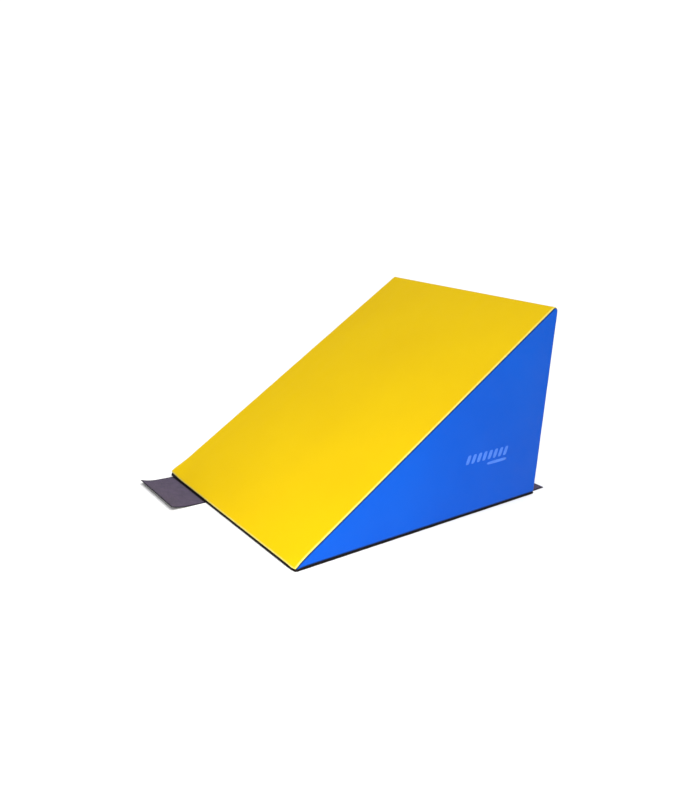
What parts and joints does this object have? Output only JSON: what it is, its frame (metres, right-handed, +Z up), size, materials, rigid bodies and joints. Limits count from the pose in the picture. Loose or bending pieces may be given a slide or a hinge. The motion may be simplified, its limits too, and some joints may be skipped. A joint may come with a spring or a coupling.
{
  "type": "incline wedge mat",
  "caption": "Foam incline wedge in a sewn vinyl cover, with a zip across its tall back and hook-and-loop joining flaps at its toe and back.",
  "frame": {"origin": "middle of the wedge's own underside, on the floor", "axes": "+X from the thin toe to the tall back, +Y to the left when facing up the slope, +Z up"},
  "size_m": [1.488, 1, 0.82],
  "materials": {
    "foam": "open-cell polyurethane foam, matt",
    "yellow_vinyl": "PVC-coated polyester, smooth, satin",
    "blue_vinyl": "PVC-coated polyester, smooth, satin",
    "base_cloth": "non-slip coated cloth with a fine pebble grain, matt",
    "hook_tape": "woven tape with moulded hooks, matt",
    "flap_cloth": "PVC-coated polyester, satin",
    "loop_pile": "brushed nylon loop pile, matt",
    "zip_tape": "woven polyester tape, matt",
    "zip_teeth": "moulded acetal",
    "zip_metal": "black enamel on die-cast zinc",
    "eyelet_metal": "nickel plated",
    "label_cloth": "woven satin, blank"
  },
  "bodies": {
    "root": {"foam_core": "foam", "top_panel": "yellow_vinyl", "side_panel_right": "blue_vinyl", "side_panel_left": "blue_vinyl", "back_panel_lower": "blue_vinyl", "back_panel_upper": "blue_vinyl", "base_panel": "base_cloth", "toe_hook_patch": "hook_tape", "back_hook_patch": "hook_tape", "toe_flap_sewn_edge": "flap_cloth", "back_flap_sewn_edge": "flap_cloth", "zip_tape_upper": "zip_tape", "zip_tape_lower": "zip_tape", "zip_teeth_upper": "zip_teeth", "zip_teeth_lower": "zip_teeth", "zip_bottom_stop": "zip_teeth", "zip_top_stops": "zip_teeth", "zip_end_tabs": "blue_vinyl", "vent_eyelets": "eyelet_metal", "vent_washers": "eyelet_metal", "care_label": "label_cloth"},
    "toe_flap": {"toe_flap": "flap_cloth", "toe_flap_loop": "loop_pile"},
    "back_flap": {"back_flap": "flap_cloth", "back_flap_loop": "loop_pile"},
    "zip_slider": {"zip_slider": "zip_metal"},
    "zip_pull": {"zip_pull": "zip_metal"}
  },
  "joints": [
    {"name": "toe_flap_fold", "type": "hinge", "parent": "root", "child": "toe_flap", "pos_m": [-0.633, 0.322, 0.008], "axis": [0, 1, 0], "range_deg": [0, 140]},
    {"name": "back_flap_fold", "type": "hinge", "parent": "root", "child": "back_flap", "pos_m": [0.629, -0.322, 0.004], "axis": [0, -1, 0], "range_deg": [0, 90]},
    {"name": "zip_slide", "type": "slide", "parent": "root", "child": "zip_slider", "axis": [0, -1, 0], "range_m": [0, 0.85]},
    {"name": "zip_pull_swing", "type": "hinge", "parent": "zip_slider", "child": "zip_pull", "pos_m": [0.6288, 0.425, 0.12], "axis": [0, 0, 1], "range_deg": [0, 180]}
  ]
}
